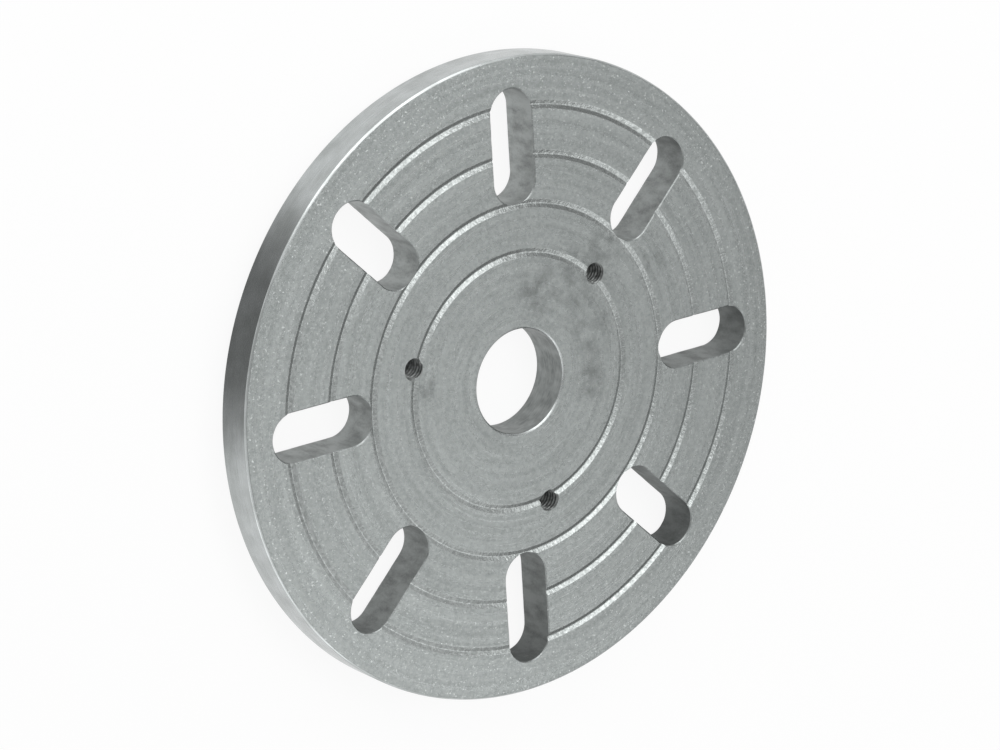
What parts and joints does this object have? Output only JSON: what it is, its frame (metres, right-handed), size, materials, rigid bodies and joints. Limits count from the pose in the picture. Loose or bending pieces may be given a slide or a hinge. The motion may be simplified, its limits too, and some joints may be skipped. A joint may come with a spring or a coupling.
{
  "type": "lathe faceplate",
  "caption": "Flat round lathe faceplate with a central bore, radial clamping slots, tapped fixing holes and shallow concentric setting grooves.",
  "frame": {"origin": "centre of the flat back face, on the spindle axis", "axes": "+Z along the spindle axis from the back face towards the grooved front face, +X through the middle of one slot"},
  "size_m": [0.16, 0.16, 0.0108],
  "materials": {
    "machined_iron": "fine turned, satin"
  },
  "bodies": {
    "root": {"faceplate": "machined_iron"}
  },
  "joints": []
}
